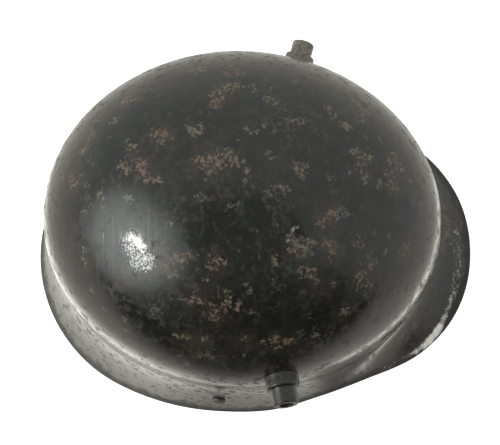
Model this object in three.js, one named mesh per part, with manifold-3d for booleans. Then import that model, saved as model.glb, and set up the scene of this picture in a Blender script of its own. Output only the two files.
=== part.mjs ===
// Steel trench helmet: a pressed shell with a rolled edge, two ventilation lugs and two strap rivets.
// Millimetres, +Z up, the visor points along -Y and the wearer's left is +X.
// The origin is on the surface that the rim rests on, under the middle of the helmet's box.

import * as THREE from "three";
import * as BufferGeometryUtils from "three/addons/utils/BufferGeometryUtils.js";
import Module from "manifold-3d";

// Skull
const skullFront = 125.5;
const skullRear = 126.9;
const skullHalfWidth = 105.6;
const crownHeight = 171.8;
const domeFullness = 2.21;

// Waist, where the dome ends and the skirt begins
const waistFront = 69.2;
const waistSide = 70.2;
const waistRear = 57.3;

// Visor, side skirts and neck guard: how far the rim stands out from the skull
const visorReach = 34.2;
const earReach = 14.2;
const neckReach = 25.4;
const visorRise = 39.6;
const skirtCurl = 1.7;

// Sheet and its edge, which is rolled inwards
const sheetThickness = 1.15;
const rollRadius = 2.3;
const rollFlatWidth = 1.4;
const lipHeight = 3.0;

// Ventilation lugs
const lugBearing = THREE.MathUtils.degToRad(73.6);
const lugShare = 0.829;
const lugStepDiameter = 19.0;
const lugStepHeight = 6.5;
const lugStepChamfer = 1.0;
const lugNozzleDiameter = 14.2;
const lugReach = 15.4;
const lugTipRounding = 0.9;
const lugBore = 7.4;
const lugInnerDiameter = 19.4;
const lugInnerThickness = 1.6;

// Chin-strap rivets
const rivetBearing = THREE.MathUtils.degToRad(93.8);
const rivetShare = 0.66;
const rivetHeadDiameter = 8.8;
const rivetHeadHeight = 2.6;
const rivetEdgeHeight = 0.8;
const rivetShankDiameter = 4.2;
const rivetInnerDiameter = 7.6;
const rivetInnerThickness = 1.3;

// One small round dent beside the crown
const dentBearing = THREE.MathUtils.degToRad(-51.0);
const dentShare = 0.244;
const dentDiameter = 9.0;
const dentDepth = 0.9;

// Clearance round each shank and under each seat
const clearance = 0.3;

// Faces of the mesh
const bearings = 72;
const domeRings = 15;
const skirtRings = 7;
const lugSides = 20;
const rivetSides = 16;

// Distance under which two points of a mesh are one, and passes in which the edge's lean settles
const weldDistance = 1e-4;
const settlingPasses = 12;

// The rim all round, from the visor at bearing 0 to the neck guard at 180 degrees.
// reach is how far it stands out from the skull, rise how high its lowest line lies.
const rim = [
  { bearing: 0, reach: 1.0 * visorReach, rise: 1.0 * visorRise },
  { bearing: 15, reach: 0.96 * visorReach, rise: 0.98 * visorRise },
  { bearing: 30, reach: 0.77 * visorReach, rise: 0.91 * visorRise },
  { bearing: 45, reach: 0.455 * visorReach, rise: 0.74 * visorRise },
  { bearing: 60, reach: 0.86 * earReach, rise: 0.4 * visorRise },
  { bearing: 75, reach: 0.965 * earReach, rise: 0.07 * visorRise },
  { bearing: 90, reach: 1.0 * earReach, rise: 0 },
  { bearing: 105, reach: 1.15 * earReach, rise: 0 },
  { bearing: 120, reach: 0.765 * neckReach, rise: 0 },
  { bearing: 135, reach: 0.92 * neckReach, rise: 0 },
  { bearing: 150, reach: 0.985 * neckReach, rise: 0 },
  { bearing: 165, reach: 1.0 * neckReach, rise: 0 },
  { bearing: 180, reach: 1.0 * neckReach, rise: 0 },
];

const wasm = await Module();
wasm.setup();

// Value of one column of the rim table at any bearing, on a smooth curve through the rows.
// The curve is the same on both sides, and runs level into a row that is at rest height.
function rimValue(bearing, column) {
  const spacing = rim[1].bearing;
  const folded = Math.abs(THREE.MathUtils.radToDeg(Math.atan2(Math.sin(bearing), Math.cos(bearing))));
  const row = Math.min(Math.floor(folded / spacing), rim.length - 2);
  const share = folded / spacing - row;
  const last = rim.length - 1;
  const before = rim[Math.abs(row - 1)][column];
  const from = rim[row][column];
  const to = rim[row + 1][column];
  const after = rim[row + 2 > last ? last - 1 : row + 2][column];
  const slopeFrom = from === 0 ? 0 : (to - before) / 2;
  const slopeTo = to === 0 ? 0 : (after - from) / 2;
  const cube = share ** 3;
  const square = share ** 2;
  return (2 * cube - 3 * square + 1) * from + (cube - 2 * square + share) * slopeFrom
    + (3 * square - 2 * cube) * to + (cube - square) * slopeTo;
}

// The skull's oval in plan.
function skullRadius(bearing) {
  const length = Math.cos(bearing) > 0 ? skullFront : skullRear;
  return 1 / Math.hypot(Math.sin(bearing) / skullHalfWidth, Math.cos(bearing) / length);
}

function waistHeight(bearing) {
  const end = Math.cos(bearing) > 0 ? waistFront : waistRear;
  return waistSide + (end - waistSide) * Math.cos(bearing) ** 2;
}

// Section of the rolled edge at one bearing: its centre, and where the skirt runs into it.
function rimSection(bearing) {
  const skull = skullRadius(bearing);
  const waist = waistHeight(bearing);
  const centreRadius = skull + rimValue(bearing, "reach") - rollRadius;
  const flatAngle = Math.asin(rollFlatWidth / 2 / rollRadius);
  const centreHeight = rimValue(bearing, "rise") + rollRadius * Math.cos(flatAngle);
  let lean = 0;
  for (let pass = 0; pass < settlingPasses; pass += 1) {
    const out = centreRadius + rollRadius * Math.cos(lean) - skull;
    const drop = waist - centreHeight - rollRadius * Math.sin(lean);
    lean = Math.atan2(skirtCurl * out, drop);
  }
  return { skull, waist, centreRadius, centreHeight, flatAngle, lean };
}

// A point of the outer skin, as radius and height. Its share runs from 0 at the crown
// to 1 at the waist, and on to 2 where the skirt meets the rolled edge.
function skinPoint(bearing, share) {
  const section = rimSection(bearing);
  if (share <= 1) {
    const angle = share * Math.PI / 2;
    return {
      radius: section.skull * Math.sin(angle) ** (2 / domeFullness),
      height: section.waist + (crownHeight - section.waist) * Math.cos(angle) ** (2 / domeFullness),
    };
  }
  const down = share - 1;
  const endRadius = section.centreRadius + rollRadius * Math.cos(section.lean);
  const endHeight = section.centreHeight + rollRadius * Math.sin(section.lean);
  return {
    radius: section.skull + (endRadius - section.skull) * down ** skirtCurl,
    height: section.waist + (endHeight - section.waist) * down,
  };
}

function place(bearing, point) {
  return new THREE.Vector3(point.radius * Math.sin(bearing), -point.radius * Math.cos(bearing), point.height);
}

// The outward normal of the skin, and its direction within the upright plane of the bearing.
function skinNormal(bearing, share) {
  const small = 1e-4;
  const from = Math.max(share - small, small);
  const to = Math.min(share + small, 2);
  const upper = skinPoint(bearing, from);
  const lower = skinPoint(bearing, to);
  const down = place(bearing, lower).sub(place(bearing, upper));
  const along = place(bearing + small, skinPoint(bearing + small, share))
    .sub(place(bearing - small, skinPoint(bearing - small, share)));
  const normal = down.clone().cross(along).normalize();
  const flat = new THREE.Vector2(upper.height - lower.height, lower.radius - upper.radius).normalize();
  const inPlane = place(bearing, { radius: flat.x, height: flat.y });
  return { normal, flat, squareness: normal.dot(inPlane) };
}

// The skin moved inwards by a true distance, measured square to it.
function innerPoint(bearing, share, distance) {
  const point = skinPoint(bearing, share);
  const { flat, squareness } = skinNormal(bearing, share);
  return {
    radius: point.radius - flat.x * distance / squareness,
    height: point.height - flat.y * distance / squareness,
  };
}

// The rolled edge of the sheet at one bearing, from the skirt's outside round to its inside.
function rolledEdge(bearing) {
  const { centreRadius, centreHeight, flatAngle, lean } = rimSection(bearing);
  const wall = sheetThickness / skinNormal(bearing, 2).squareness;
  const around = (radius, angle) => ({
    radius: centreRadius + radius * Math.cos(angle),
    height: centreHeight + radius * Math.sin(angle),
  });
  const inside = lean - Math.PI;
  const flatOut = -Math.PI / 2 + flatAngle;
  const flatIn = -Math.PI / 2 - flatAngle;
  const outerAngles = [(lean + flatOut) / 2, flatOut, flatIn, (flatIn + inside) / 2, inside];
  const outer = outerAngles.map((angle) => around(rollRadius, angle));
  const lip = [rollRadius, rollRadius - wall].map((radius) => {
    const foot = around(radius, inside);
    return {
      radius: foot.radius - lipHeight * Math.sin(lean),
      height: foot.height + lipHeight * Math.cos(lean),
    };
  });
  const innerSteps = [0, 0.25, 0.5, 0.75];
  const inner = innerSteps.map((step) => around(rollRadius - wall, inside + Math.PI * step));
  return [...outer, ...lip, ...inner];
}

function ringAt(pointAt) {
  const ring = [];
  for (let index = 0; index < bearings; index += 1) {
    const bearing = 2 * Math.PI * index / bearings;
    ring.push(place(bearing, pointAt(bearing)));
  }
  return ring;
}

// Shares of the rings from the crown down to the rolled edge.
const ringShares = [];
for (let ring = 1; ring <= domeRings; ring += 1) {
  ringShares.push(ring / domeRings);
}
for (let ring = 1; ring <= skirtRings; ring += 1) {
  ringShares.push(1 + ring / skirtRings);
}

// A closed surface from a first pole, through rings in order, to a last pole.
function loft(firstPole, rings, lastPole) {
  const points = [firstPole, ...rings.flat(), lastPole];
  const faces = [];
  const at = (ring, index) => 1 + ring * bearings + index % bearings;
  for (let index = 0; index < bearings; index += 1) {
    faces.push(0, at(0, index), at(0, index + 1));
    faces.push(points.length - 1, at(rings.length - 1, index + 1), at(rings.length - 1, index));
    for (let ring = 0; ring + 1 < rings.length; ring += 1) {
      faces.push(at(ring, index), at(ring + 1, index), at(ring + 1, index + 1));
      faces.push(at(ring, index), at(ring + 1, index + 1), at(ring, index + 1));
    }
  }
  const geometry = new THREE.BufferGeometry();
  const numbers = points.flatMap((point) => point.toArray());
  geometry.setAttribute("position", new THREE.Float32BufferAttribute(numbers, 3));
  geometry.setIndex(faces);
  return geometry;
}

function toSolid(geometry) {
  const bare = geometry.clone();
  bare.deleteAttribute("normal");
  bare.deleteAttribute("uv");
  const merged = BufferGeometryUtils.mergeVertices(bare, weldDistance);
  return new wasm.Manifold(new wasm.Mesh({
    numProp: 3,
    vertProperties: new Float32Array(merged.attributes.position.array),
    triVerts: new Uint32Array(merged.index.array),
  }));
}

function toGeometry(solid) {
  const mesh = solid.getMesh();
  const geometry = new THREE.BufferGeometry();
  geometry.setAttribute("position", new THREE.BufferAttribute(mesh.vertProperties, 3));
  geometry.setIndex(new THREE.BufferAttribute(mesh.triVerts, 1));
  geometry.computeVertexNormals();
  return geometry;
}

// The space inside the outer skin moved inwards by a distance, closed across the rim.
function skinSolid(distance) {
  const rings = ringShares.map((share) => ringAt((bearing) => innerPoint(bearing, share, distance)));
  const crown = new THREE.Vector3(0, 0, crownHeight - distance);
  return toSolid(loft(crown, rings, new THREE.Vector3(0, 0, visorRise)));
}

// What lies inside the seats on the outer skin, and inside the seats on the sheet's inner face.
const underOuterSeats = skinSolid(-clearance);
const underInnerSeats = skinSolid(sheetThickness + clearance);

// Where a fitting sits: its point on the skin, and the turn that points its axis outwards.
function seatAt(bearing, share) {
  const { normal } = skinNormal(bearing, share);
  const point = place(bearing, skinPoint(bearing, share));
  const turn = new THREE.Quaternion().setFromUnitVectors(new THREE.Vector3(0, 1, 0), normal);
  return new THREE.Matrix4().compose(point, turn, new THREE.Vector3(1, 1, 1));
}

// A solid turned from a profile of radius and height, on the axis of a seat.
function turned(profile, sides, seat) {
  const outline = profile.map(([radius, height]) => new THREE.Vector2(radius, height));
  return toSolid(new THREE.LatheGeometry(outline, sides).applyMatrix4(seat));
}

function cylinder(diameter, bottom, top, sides, seat) {
  const radius = diameter / 2;
  return turned([[0, bottom], [radius, bottom], [radius, top], [0, top]], sides, seat);
}

// A fitting through the sheet: what shows outside, cut to seat on the skin, then its shank,
// which runs up into it, and the plain flange that holds it inside.
function fitting({ outside, shankDiameter, innerDiameter, innerThickness, sides }, seat) {
  const inside = -(sheetThickness + clearance + innerThickness);
  const shank = cylinder(shankDiameter, inside, sheetThickness, sides, seat);
  const innerFlange = cylinder(innerDiameter, inside, 0, sides, seat).intersect(underInnerSeats);
  return outside.subtract(underOuterSeats).add(shank).add(innerFlange);
}

// Arc of a quarter turn, from the side of a round piece to its end.
function roundedCorner(radius, height, rounding) {
  return [0, 0.5, 1].map((step) => [
    radius - rounding * (1 - Math.cos(step * Math.PI / 2)),
    height - rounding * (1 - Math.sin(step * Math.PI / 2)),
  ]);
}

function ventLug(seat) {
  const step = lugStepDiameter / 2;
  const nozzle = lugNozzleDiameter / 2;
  const outside = turned([
    [0, -sheetThickness],
    [step, -sheetThickness],
    [step, lugStepHeight - lugStepChamfer],
    [step - lugStepChamfer, lugStepHeight],
    [nozzle, lugStepHeight],
    ...roundedCorner(nozzle, lugReach, lugTipRounding),
    [0, lugReach],
  ], lugSides, seat);
  const body = fitting({
    outside,
    shankDiameter: lugNozzleDiameter,
    innerDiameter: lugInnerDiameter,
    innerThickness: lugInnerThickness,
    sides: lugSides,
  }, seat);
  return body.subtract(cylinder(lugBore, -lugReach, 2 * lugReach, lugSides, seat));
}

function strapRivet(seat) {
  const radius = rivetHeadDiameter / 2;
  const dome = [0, 0.25, 0.5, 0.75].map((step) => [
    radius * Math.cos(step * Math.PI / 2),
    rivetEdgeHeight + (rivetHeadHeight - rivetEdgeHeight) * Math.sin(step * Math.PI / 2),
  ]);
  const profile = [[0, -sheetThickness], [radius, -sheetThickness], ...dome, [0, rivetHeadHeight]];
  const outside = turned(profile, rivetSides, seat);
  return fitting({
    outside,
    shankDiameter: rivetShankDiameter,
    innerDiameter: rivetInnerDiameter,
    innerThickness: rivetInnerThickness,
    sides: rivetSides,
  }, seat);
}

// The bowl of the dent, set into the sheet by an inset: cut from the skin with none, and with
// the sheet's thickness it is the bulge that the same blow left inside.
function dentBowl(seat, inset) {
  const radius = dentDiameter / 2;
  const bowl = [0.25, 0.5, 0.75, 1].map((share) => [
    radius * share,
    -inset - dentDepth * Math.cos(share * Math.PI / 2) ** 2,
  ]);
  const above = sheetThickness / 2 - inset;
  const profile = [[0, -inset - dentDepth], ...bowl, [radius, above], [0, above]];
  return turned(profile, rivetSides, seat);
}

function shellSolid(seats) {
  const outer = ringShares.map((share) => ringAt((bearing) => skinPoint(bearing, share)));
  const edgePoints = rolledEdge(0).length;
  const edge = [];
  for (let index = 0; index < edgePoints; index += 1) {
    edge.push(ringAt((bearing) => rolledEdge(bearing)[index]));
  }
  const inner = ringShares.map((share) => ringAt((bearing) => innerPoint(bearing, share, sheetThickness)));
  const crown = new THREE.Vector3(0, 0, crownHeight);
  const innerCrown = new THREE.Vector3(0, 0, crownHeight - sheetThickness);
  let solid = toSolid(loft(crown, [...outer, ...edge, ...inner.reverse()], innerCrown));

  const dent = seatAt(dentBearing, dentShare);
  solid = solid.add(dentBowl(dent, sheetThickness)).subtract(dentBowl(dent, 0));

  for (const { seat, diameter, sides } of seats) {
    const hole = diameter + 2 * clearance;
    solid = solid.subtract(cylinder(hole, -hole, hole, sides, seat));
  }
  return solid;
}

const materials = {
  paintedSteel: new THREE.MeshStandardMaterial({ color: 0x3b3c35, roughness: 0.45, metalness: 0.35 }),
  lugSteel: new THREE.MeshStandardMaterial({ color: 0x453f38, roughness: 0.5, metalness: 0.4 }),
  rivetSteel: new THREE.MeshStandardMaterial({ color: 0x55504a, roughness: 0.5, metalness: 0.5 }),
};

const helmet = new THREE.Group();
helmet.position.y = (skullFront + visorReach - skullRear - neckReach) / 2;

function addPiece(name, solid, material) {
  const mesh = new THREE.Mesh(toGeometry(solid), material);
  mesh.name = name;
  helmet.add(mesh);
}

const wearerSides = [{ name: "left", sign: 1 }, { name: "right", sign: -1 }];
const shankSeats = [];
for (const { name, sign } of wearerSides) {
  const lugSeat = seatAt(sign * lugBearing, lugShare);
  const rivetSeat = seatAt(sign * rivetBearing, 1 + rivetShare);
  shankSeats.push({ seat: lugSeat, diameter: lugNozzleDiameter, sides: lugSides });
  shankSeats.push({ seat: rivetSeat, diameter: rivetShankDiameter, sides: rivetSides });
  addPiece(`vent_lug_${name}`, ventLug(lugSeat), materials.lugSteel);
  addPiece(`strap_rivet_${name}`, strapRivet(rivetSeat), materials.rivetSteel);
}
addPiece("shell", shellSolid(shankSeats), materials.paintedSteel);

const object = new THREE.Group();
object.add(helmet);

export default object;
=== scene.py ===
# Steel trench helmet: the worn, painted shell with its ventilation lugs and strap rivets,
# on a plain pale floor. Metres, +Z up, the visor points along -Y and the wearer's left is +X.

import math
import random

import bmesh
import bpy
from mathutils import Matrix, Quaternion, Vector, noise
from mathutils.bvhtree import BVHTree
from mathutils.kdtree import KDTree


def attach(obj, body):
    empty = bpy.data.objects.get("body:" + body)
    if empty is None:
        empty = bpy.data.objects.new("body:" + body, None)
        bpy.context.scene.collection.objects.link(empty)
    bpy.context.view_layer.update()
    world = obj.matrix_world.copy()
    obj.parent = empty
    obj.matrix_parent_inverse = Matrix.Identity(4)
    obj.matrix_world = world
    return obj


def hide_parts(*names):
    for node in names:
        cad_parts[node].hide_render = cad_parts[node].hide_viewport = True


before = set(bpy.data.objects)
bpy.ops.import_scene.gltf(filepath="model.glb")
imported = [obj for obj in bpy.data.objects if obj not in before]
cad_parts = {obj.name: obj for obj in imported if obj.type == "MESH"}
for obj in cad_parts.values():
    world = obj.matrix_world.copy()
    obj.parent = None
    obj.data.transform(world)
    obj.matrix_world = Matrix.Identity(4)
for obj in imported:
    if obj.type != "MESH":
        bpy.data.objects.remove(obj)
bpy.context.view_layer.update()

bl_info = {
    "name": "Trench helmet",
    "version": (1, 0, 0),
    "blender": (4, 5, 0),
    "location": "View3D > Sidebar > Helmet",
    "description": "Models a worn steel trench helmet and the studio that it stands in",
    "category": "Object",
}

MM = 0.001

# Photograph: its size and the lens's focal length in pixels, and the sensor's width in millimetres
PHOTO_WIDTH = 500
PHOTO_HEIGHT = 445
FOCAL_PIXELS = 611.1
SENSOR_WIDTH = 36.0

# Camera: where it stands, what it looks at and how far it is rolled
CAMERA_PLACE = Vector((-0.11724, -0.00357, 0.45279))
CAMERA_TARGET = Vector((-0.00452, -0.00164, 0.08331))
CAMERA_ROLL = math.radians(3.02)
NEAREST_SEEN = 0.01

# The rim all round, from the visor at bearing 0 to the neck guard at 180 degrees: how far it
# stands out from the skull and how high its lowest line lies, as shares of the named sizes.
RIM_SPACING = 15.0
RIM_REACH = [
    ("visor_reach", 1.0),
    ("visor_reach", 0.96),
    ("visor_reach", 0.77),
    ("visor_reach", 0.455),
    ("ear_reach", 0.86),
    ("ear_reach", 0.965),
    ("ear_reach", 1.0),
    ("ear_reach", 1.15),
    ("neck_reach", 0.765),
    ("neck_reach", 0.92),
    ("neck_reach", 0.985),
    ("neck_reach", 1.0),
    ("neck_reach", 1.0),
]
RIM_RISE = [1.0, 0.98, 0.91, 0.74, 0.4, 0.07, 0.0, 0.0, 0.0, 0.0, 0.0, 0.0, 0.0]

# Segments round the sheet and its rings, before it is subdivided
SEGMENTS = 144
DOME_RINGS = 44
SKIRT_RINGS = 16
ROLL_RINGS = 12
LIP_RINGS = 3
# How often a section's lean is worked out again, and how far apart a normal's points lie
SETTLING_PASSES = 12
NORMAL_STEP = 1e-4

# Marks on the paint, read from the photograph: pixel across, pixel down, radius in pixels
RUST_MARKS = [
    (93, 110, 6), (125, 101, 7), (133, 98, 5), (146, 90, 5), (92, 135, 6), (84, 148, 6),
    (157, 133, 7), (165, 137, 7), (160, 142, 5), (215, 103, 7), (219, 98, 5), (230, 71, 7),
    (238, 74, 4), (310, 76, 6), (299, 121, 6), (199, 160, 6), (207, 163, 8), (216, 158, 7),
    (221, 165, 6), (212, 170, 5), (243, 163, 5), (246, 171, 4), (356, 101, 7), (363, 110, 7),
    (359, 118, 6), (330, 108, 5), (334, 116, 5), (346, 125, 5), (366, 157, 6), (357, 153, 6),
    (362, 168, 7), (366, 175, 5), (392, 161, 6), (400, 167, 6), (391, 176, 6), (393, 186, 7),
    (398, 190, 4), (301, 167, 7), (302, 175, 4), (281, 188, 5), (287, 188, 4), (122, 165, 6),
    (127, 170, 6), (139, 167, 8), (144, 171, 6), (148, 179, 5), (158, 180, 5), (70, 180, 6),
    (76, 183, 4), (83, 151, 5), (84, 251, 4), (84, 261, 4), (292, 248, 6), (299, 252, 7),
    (304, 247, 5), (303, 271, 5), (312, 273, 6), (306, 275, 4), (325, 243, 5), (332, 249, 6),
    (331, 256, 4), (183, 258, 6), (191, 257, 4), (174, 260, 5), (214, 264, 7), (222, 262, 4),
    (194, 300, 6), (202, 300, 5), (216, 310, 6), (226, 307, 6), (236, 306, 5), (213, 318, 5),
    (373, 262, 5), (362, 274, 6), (369, 284, 6), (360, 285, 5), (407, 246, 6), (402, 252, 5),
    (411, 289, 5), (408, 297, 5), (245, 339, 5), (287, 342, 5), (262, 342, 4), (371, 268, 4),
    (404, 337, 5), (415, 325, 5), (95, 346, 3), (80, 349, 3), (379, 345, 4), (414, 141, 4),
    (440, 215, 4), (446, 236, 4), (322, 222, 6), (330, 214, 5), (103, 205, 4), (345, 311, 5),
    (443, 205, 5), (443, 213, 4), (448, 229, 6), (457, 203, 4), (459, 214, 5), (461, 226, 4),
    (464, 246, 5), (464, 262, 4), (462, 274, 4), (443, 246, 5), (437, 196, 4), (446, 220, 4),
    (78, 128, 5), (75, 140, 5), (72, 149, 5), (66, 164, 4), (62, 178, 4), (99, 102, 5),
]
OCHRE_MARKS = [
    (236, 86, 6), (228, 87, 7), (219, 91, 6), (213, 94, 5), (199, 70, 6), (192, 71, 4),
    (131, 149, 6), (196, 131, 6), (269, 99, 5), (228, 155, 6), (234, 159, 6), (371, 156, 6),
    (324, 75, 5), (395, 156, 5), (420, 226, 5), (425, 187, 6), (357, 242, 5), (363, 244, 4),
    (275, 257, 3), (275, 264, 3), (171, 272, 6), (167, 265, 5), (180, 261, 5), (206, 279, 4),
    (227, 292, 4), (228, 299, 4), (274, 339, 6), (276, 346, 6), (186, 337, 5), (177, 336, 4),
    (72, 185, 5), (101, 196, 5), (305, 243, 5), (310, 241, 4), (95, 128, 4), (97, 120, 4),
    (343, 124, 4), (316, 335, 4), (204, 340, 4), (90, 351, 4), (426, 344, 4), (352, 152, 4),
]
PALE_MARKS = [
    (187, 127, 3), (190, 131, 3), (201, 125, 3), (206, 63, 2), (246, 129, 3), (251, 133, 2),
    (257, 131, 3), (265, 125, 3), (274, 132, 2), (275, 104, 3), (270, 88, 2), (251, 85, 3),
    (256, 91, 3), (290, 120, 3), (237, 139, 2), (295, 82, 3), (114, 121, 5), (108, 138, 2),
    (126, 141, 3), (88, 161, 2), (80, 176, 2), (87, 186, 4), (85, 211, 3), (81, 214, 2),
    (126, 197, 4), (132, 197, 3), (156, 205, 2), (170, 224, 3), (199, 195, 3), (203, 198, 3),
    (230, 206, 3), (238, 205, 3), (228, 216, 2), (245, 181, 3), (253, 187, 2), (206, 179, 2),
    (211, 172, 3), (246, 169, 3), (268, 192, 3), (276, 198, 2), (274, 186, 3), (267, 153, 3),
    (272, 158, 3), (282, 210, 2), (277, 225, 2), (256, 231, 2), (305, 164, 3), (331, 177, 3),
    (350, 173, 3), (365, 182, 3), (361, 174, 3), (380, 182, 4), (378, 187, 3), (411, 181, 3),
    (422, 204, 2), (389, 236, 3), (374, 231, 3), (386, 252, 3), (369, 255, 3), (340, 209, 4),
    (346, 214, 4), (338, 218, 3), (347, 129, 3), (381, 141, 3), (365, 137, 2), (328, 108, 3),
    (92, 291, 3), (104, 309, 3), (125, 320, 3), (126, 331, 3), (154, 309, 4), (159, 311, 3),
    (153, 317, 3), (156, 340, 2), (249, 290, 4), (245, 284, 3), (252, 312, 3), (280, 265, 2),
    (274, 279, 2), (299, 271, 3), (300, 278, 2), (317, 281, 3), (334, 284, 3), (361, 272, 3),
    (357, 277, 3), (378, 272, 2), (394, 292, 2), (365, 295, 3), (314, 327, 2), (307, 318, 3),
    (300, 331, 2), (181, 355, 3), (187, 364, 3), (200, 356, 3), (208, 355, 3), (213, 358, 3),
    (244, 355, 3), (239, 250, 2), (259, 257, 2), (197, 253, 2), (381, 104, 3), (396, 119, 2),
    (309, 243, 3), (430, 187, 3), (451, 244, 2), (440, 236, 2), (294, 240, 3), (301, 238, 3),
    (298, 246, 3), (307, 250, 3), (314, 244, 3), (303, 255, 3), (312, 254, 2),
]
# Broad, faint brown films
FILM_MARKS = [
    (335, 88, 17), (352, 95, 15), (318, 76, 10), (160, 136, 13), (208, 163, 17), (140, 168, 15),
    (360, 112, 15), (361, 166, 14), (394, 175, 17), (328, 218, 14), (331, 250, 13), (214, 312, 18),
    (168, 264, 13), (122, 278, 10), (216, 264, 12), (128, 327, 11), (366, 278, 16), (404, 249, 12),
    (75, 181, 13), (88, 140, 13), (300, 250, 13), (130, 100, 12), (195, 345, 16), (208, 356, 14),
    (245, 340, 12), (276, 342, 12), (343, 312, 10), (408, 293, 12), (320, 290, 12), (196, 300, 14),
    (230, 72, 11), (225, 92, 13), (86, 262, 9), (425, 320, 16), (395, 345, 14), (444, 210, 14),
    (459, 232, 12), (464, 258, 11), (78, 138, 14), (66, 168, 11),
]
# Scratches: from pixel across and down, to pixel across and down, half width in pixels
PALE_SCRATCHES = [
    (176, 298.5, 190, 300.5, 0.8), (207, 302.5, 218.5, 305.5, 0.8), (218, 285, 218.5, 300, 0.7),
    (191, 293, 200, 289, 0.7), (403, 184, 407, 191, 0.7), (340, 316, 351, 305, 0.8),
    (294, 341, 306, 333, 0.7), (327, 341, 334, 331, 0.6), (148, 179, 160, 181, 1.0),
    (262, 190, 272, 194, 0.8), (199, 357, 203, 352, 0.7), (208, 352, 214, 361, 0.7),
    (183, 364, 190, 365, 0.8), (183, 124, 192, 131, 0.7), (186, 120, 191, 115, 0.5),
    (245, 128, 250, 131, 0.8), (252, 133, 259, 130, 0.8), (229, 207, 234, 205, 0.8),
    (98, 248, 99, 290, 0.5), (149, 205, 150, 262, 0.5), (156, 212, 157, 258, 0.4),
    (113, 214, 114, 252, 0.5), (448, 246, 453, 242, 0.6), (195, 126, 205, 121, 0.5),
]
DARK_SCRATCHES = [
    (107.5, 212, 108.5, 292, 0.9), (104.5, 215, 105.5, 262, 0.5), (145.5, 238, 146, 270, 0.7),
    (153, 232, 153.5, 268, 0.5), (293, 231, 304, 234, 0.8), (116, 236, 116.5, 268, 0.4),
]
# Painted highlight: a spatter of bright bare steel that stands in for the glare behind the crown
PAINTED_GLARE_MARKS = [
    (132, 238, 5), (137, 243, 5), (141, 247, 5), (143, 252, 5), (137, 259, 7), (143, 260, 7),
    (136, 264, 7), (145, 267, 5), (123, 241, 3), (127, 248, 4), (150, 258, 5), (150, 266, 4),
    (131, 252, 5),
]
# Painted highlights, laid as bare, burnished steel: along the visor's edge (partly real worn steel), in the
# glare behind the crown and as the dent's crescent: from pixel across and down, to pixel across and down,
# half width in pixels, and how bare it is in its middle
BARE_AND_HIGHLIGHT_STREAKS = [
    (404, 358, 416, 351.5, 2.5, 0.45), (416, 351.5, 425, 345, 3.0, 0.8),
    (425, 345, 432, 338, 3.4, 1.3), (432, 338, 439, 328.5, 3.4, 1.3),
    (439, 328.5, 445, 316, 3.0, 0.7), (445, 316, 451, 300, 2.8, 0.5),
    (451, 300, 456, 282, 4.0, 0.36), (456, 282, 458, 255, 4.5, 0.30),
    (458, 255, 457, 232, 4.5, 0.26), (384, 368.5, 397, 362, 2.2, 0.35),
    (128, 234, 132, 237, 2.4, 0.55), (132, 237, 142, 247, 3.2, 0.85),
    (142, 247, 145, 258, 2.6, 0.55), (288, 242, 290, 234, 2.1, 0.36),
    (290, 234, 296, 228, 2.1, 0.36),
]
SEEN_MARKS = {"rust": RUST_MARKS, "ochre": OCHRE_MARKS, "pale": PALE_MARKS,
              "film": FILM_MARKS, "painted_glare": PAINTED_GLARE_MARKS}
# Wear where the photograph doesn't look: random seed, how many marks, and their width
HIDDEN_MARKS = {"rust": (11, 90, 1.0), "ochre": (12, 46, 1.0), "pale": (13, 120, 0.6),
                "film": (14, 60, 2.2)}
# The hidden marks lie in clusters: how far down the shell they start and end, how squarely the
# camera may see them, how many a cluster has, how far apart they lie and their radii
HIDDEN_SHARES = (0.5, 1.97)
HIDDEN_FACING = 0.12
CLUSTER_SIZES = (1, 4)
CLUSTER_SPREAD = 6 * MM
HIDDEN_RADII = (2.0, 6.5)
# Each mark fades out at this many of its radii
DAB_REACH = 1.6
EDGE_DIRT_WIDTH = 13.5 * MM
# The painted layers: what their red, green, blue and alpha hold. The wear's alpha and the dirt's green are
# painted highlights of bright steel, partly real wear
PAINTED_LAYERS = {"wear": ("rust", "ochre", "pale", "bare_and_highlight"), "dirt": ("film", "painted_glare", "edge")}


def length_property(label, description, millimetres):
    return bpy.props.FloatProperty(
        name=label, description=description, default=millimetres * MM, unit="LENGTH")


def angle_property(label, description, degrees):
    return bpy.props.FloatProperty(
        name=label, description=description, default=math.radians(degrees), subtype="ANGLE")


def number_property(label, description, value):
    return bpy.props.FloatProperty(name=label, description=description, default=value)


def colour_property(label, description, red, green, blue):
    return bpy.props.FloatVectorProperty(
        name=label, description=description, default=(red, green, blue),
        size=3, min=0.0, max=1.0, subtype="COLOR")


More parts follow.
